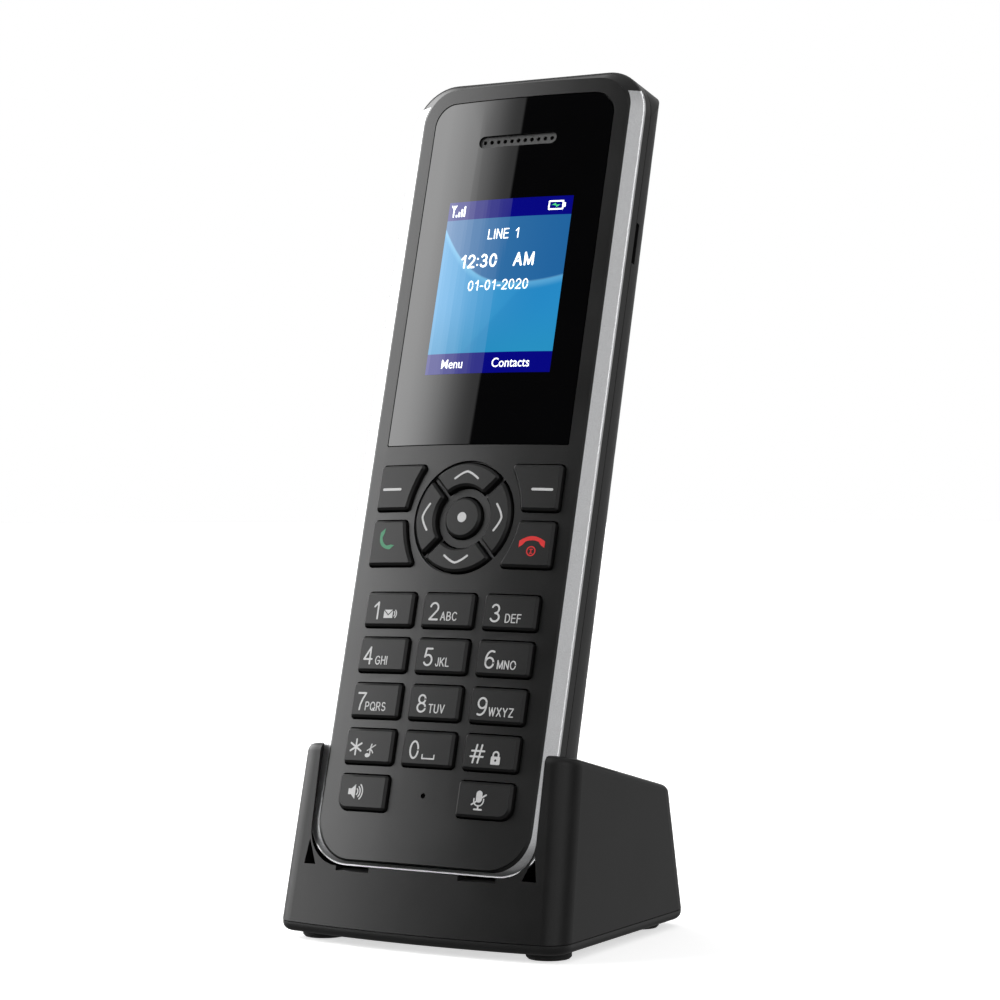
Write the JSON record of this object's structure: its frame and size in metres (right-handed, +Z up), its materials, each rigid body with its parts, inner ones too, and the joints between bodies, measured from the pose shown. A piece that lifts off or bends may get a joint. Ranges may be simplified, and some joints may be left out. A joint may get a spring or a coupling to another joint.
{
  "type": "cordless phone with base",
  "caption": "Slim cordless telephone handset with colour display and keypad, leaning back in a small desktop charging cradle.",
  "frame": {"origin": "on the table plane under the middle of the whole object, between the cradle feet", "axes": "+Z up, the keypad and display face -Y and lean back, +X is to the right of a person facing the keypad"},
  "size_m": [0.0626, 0.0612, 0.1644],
  "materials": {
    "cradle_plastic": "fine textured satin",
    "rubber_feet": "matt",
    "screw_steel": "zinc plated",
    "circuit_board": "solder resist",
    "moulded_black": "moulded",
    "contact_metal": "gold plated",
    "front_plastic": "satin",
    "rear_plastic": "fine texture",
    "trim_silver": "satin silver paint",
    "lens_black": "polished",
    "display_panel": "lit colour panel",
    "earpiece_strip": "textured",
    "speaker_black": "moulded",
    "membrane_rubber": "silicone",
    "cell_sleeve": "shrink sleeve",
    "key_plastic": "soft satin"
  },
  "bodies": {
    "cradle": {"cradle_bottom_cover": "cradle_plastic", "cradle_circuit_board": "circuit_board", "cradle_feet": "rubber_feet", "cradle_housing": "cradle_plastic", "cradle_screws": "screw_steel", "contact_block": "moulded_black", "power_socket": "moulded_black"},
    "charge_pin_left": {"charge_pin_left": "contact_metal"},
    "charge_pin_right": {"charge_pin_right": "contact_metal"},
    "battery_door": {"battery_door": "rear_plastic"},
    "key_0": {"key_0": "key_plastic"},
    "key_1": {"key_1": "key_plastic"},
    "key_2": {"key_2": "key_plastic"},
    "key_3": {"key_3": "key_plastic"},
    "key_4": {"key_4": "key_plastic"},
    "key_5": {"key_5": "key_plastic"},
    "key_6": {"key_6": "key_plastic"},
    "key_7": {"key_7": "key_plastic"},
    "key_8": {"key_8": "key_plastic"},
    "key_9": {"key_9": "key_plastic"},
    "key_call": {"key_call": "key_plastic"},
    "key_end": {"key_end": "key_plastic"},
    "key_hash": {"key_hash": "key_plastic"},
    "key_mute": {"key_mute": "key_plastic"},
    "key_speaker": {"key_speaker": "key_plastic"},
    "key_star": {"key_star": "key_plastic"},
    "nav_down": {"nav_down": "key_plastic"},
    "nav_left": {"nav_left": "key_plastic"},
    "nav_ok": {"nav_ok": "key_plastic"},
    "nav_right": {"nav_right": "key_plastic"},
    "nav_up": {"nav_up": "key_plastic"},
    "softkey_left": {"softkey_left": "key_plastic"},
    "softkey_right": {"softkey_right": "key_plastic"},
    "handset": {"antenna": "contact_metal", "battery_cells": "cell_sleeve", "battery_contacts": "contact_metal", "charge_pads": "contact_metal", "display_lens": "lens_black", "display_module": "display_panel", "earpiece_mesh": "earpiece_strip", "earpiece_speaker": "speaker_black", "front_housing": "front_plastic", "handset_screws": "screw_steel", "headset_socket": "moulded_black", "keypad_membrane": "membrane_rubber", "loudspeaker": "speaker_black", "main_circuit_board": "circuit_board", "microphone": "moulded_black", "rear_housing": "rear_plastic", "side_trim": "trim_silver"}
  },
  "joints": [
    {"name": "handset_lift", "type": "slide", "parent": "cradle", "child": "handset", "axis": [0, 0.2588, 0.9659], "range_m": [0, 0.12]},
    {"name": "battery_door_off", "type": "slide", "parent": "handset", "child": "battery_door", "axis": [0, 0.9659, -0.2588], "range_m": [0, 0.03]},
    {"name": "charge_pin_left_press", "type": "slide", "parent": "cradle", "child": "charge_pin_left", "axis": [0, 0.2588, 0.9659], "range_m": [-0.0008, 0], "stiffness_N_per_m": 80, "springref_m": 0.0004},
    {"name": "charge_pin_right_press", "type": "slide", "parent": "cradle", "child": "charge_pin_right", "axis": [0, 0.2588, 0.9659], "range_m": [-0.0008, 0], "stiffness_N_per_m": 80, "springref_m": 0.0004},
    {"name": "key_0_press", "type": "slide", "parent": "handset", "child": "key_0", "axis": [0, 0.9659, -0.2588], "range_m": [0, 0.0005], "stiffness_N_per_m": 300, "springref_m": -0.0004},
    {"name": "key_1_press", "type": "slide", "parent": "handset", "child": "key_1", "axis": [0, 0.9659, -0.2588], "range_m": [0, 0.0005], "stiffness_N_per_m": 300, "springref_m": -0.0004},
    {"name": "key_2_press", "type": "slide", "parent": "handset", "child": "key_2", "axis": [0, 0.9659, -0.2588], "range_m": [0, 0.0005], "stiffness_N_per_m": 300, "springref_m": -0.0004},
    {"name": "key_3_press", "type": "slide", "parent": "handset", "child": "key_3", "axis": [0, 0.9659, -0.2588], "range_m": [0, 0.0005], "stiffness_N_per_m": 300, "springref_m": -0.0004},
    {"name": "key_4_press", "type": "slide", "parent": "handset", "child": "key_4", "axis": [0, 0.9659, -0.2588], "range_m": [0, 0.0005], "stiffness_N_per_m": 300, "springref_m": -0.0004},
    {"name": "key_5_press", "type": "slide", "parent": "handset", "child": "key_5", "axis": [0, 0.9659, -0.2588], "range_m": [0, 0.0005], "stiffness_N_per_m": 300, "springref_m": -0.0004},
    {"name": "key_6_press", "type": "slide", "parent": "handset", "child": "key_6", "axis": [0, 0.9659, -0.2588], "range_m": [0, 0.0005], "stiffness_N_per_m": 300, "springref_m": -0.0004},
    {"name": "key_7_press", "type": "slide", "parent": "handset", "child": "key_7", "axis": [0, 0.9659, -0.2588], "range_m": [0, 0.0005], "stiffness_N_per_m": 300, "springref_m": -0.0004},
    {"name": "key_8_press", "type": "slide", "parent": "handset", "child": "key_8", "axis": [0, 0.9659, -0.2588], "range_m": [0, 0.0005], "stiffness_N_per_m": 300, "springref_m": -0.0004},
    {"name": "key_9_press", "type": "slide", "parent": "handset", "child": "key_9", "axis": [0, 0.9659, -0.2588], "range_m": [0, 0.0005], "stiffness_N_per_m": 300, "springref_m": -0.0004},
    {"name": "key_call_press", "type": "slide", "parent": "handset", "child": "key_call", "axis": [0, 0.9659, -0.2588], "range_m": [0, 0.0005], "stiffness_N_per_m": 300, "springref_m": -0.0004},
    {"name": "key_end_press", "type": "slide", "parent": "handset", "child": "key_end", "axis": [0, 0.9659, -0.2588], "range_m": [0, 0.0005], "stiffness_N_per_m": 300, "springref_m": -0.0004},
    {"name": "key_hash_press", "type": "slide", "parent": "handset", "child": "key_hash", "axis": [0, 0.9659, -0.2588], "range_m": [0, 0.0005], "stiffness_N_per_m": 300, "springref_m": -0.0004},
    {"name": "key_mute_press", "type": "slide", "parent": "handset", "child": "key_mute", "axis": [0, 0.9659, -0.2588], "range_m": [0, 0.0005], "stiffness_N_per_m": 300, "springref_m": -0.0004},
    {"name": "key_speaker_press", "type": "slide", "parent": "handset", "child": "key_speaker", "axis": [0, 0.9659, -0.2588], "range_m": [0, 0.0005], "stiffness_N_per_m": 300, "springref_m": -0.0004},
    {"name": "key_star_press", "type": "slide", "parent": "handset", "child": "key_star", "axis": [0, 0.9659, -0.2588], "range_m": [0, 0.0005], "stiffness_N_per_m": 300, "springref_m": -0.0004},
    {"name": "nav_down_press", "type": "slide", "parent": "handset", "child": "nav_down", "axis": [0, 0.9659, -0.2588], "range_m": [0, 0.0005], "stiffness_N_per_m": 300, "springref_m": -0.0004},
    {"name": "nav_left_press", "type": "slide", "parent": "handset", "child": "nav_left", "axis": [0, 0.9659, -0.2588], "range_m": [0, 0.0005], "stiffness_N_per_m": 300, "springref_m": -0.0004},
    {"name": "nav_ok_press", "type": "slide", "parent": "handset", "child": "nav_ok", "axis": [0, 0.9659, -0.2588], "range_m": [0, 0.0005], "stiffness_N_per_m": 300, "springref_m": -0.0004},
    {"name": "nav_right_press", "type": "slide", "parent": "handset", "child": "nav_right", "axis": [0, 0.9659, -0.2588], "range_m": [0, 0.0005], "stiffness_N_per_m": 300, "springref_m": -0.0004},
    {"name": "nav_up_press", "type": "slide", "parent": "handset", "child": "nav_up", "axis": [0, 0.9659, -0.2588], "range_m": [0, 0.0005], "stiffness_N_per_m": 300, "springref_m": -0.0004},
    {"name": "softkey_left_press", "type": "slide", "parent": "handset", "child": "softkey_left", "axis": [0, 0.9659, -0.2588], "range_m": [0, 0.0005], "stiffness_N_per_m": 300, "springref_m": -0.0004},
    {"name": "softkey_right_press", "type": "slide", "parent": "handset", "child": "softkey_right", "axis": [0, 0.9659, -0.2588], "range_m": [0, 0.0005], "stiffness_N_per_m": 300, "springref_m": -0.0004}
  ]
}
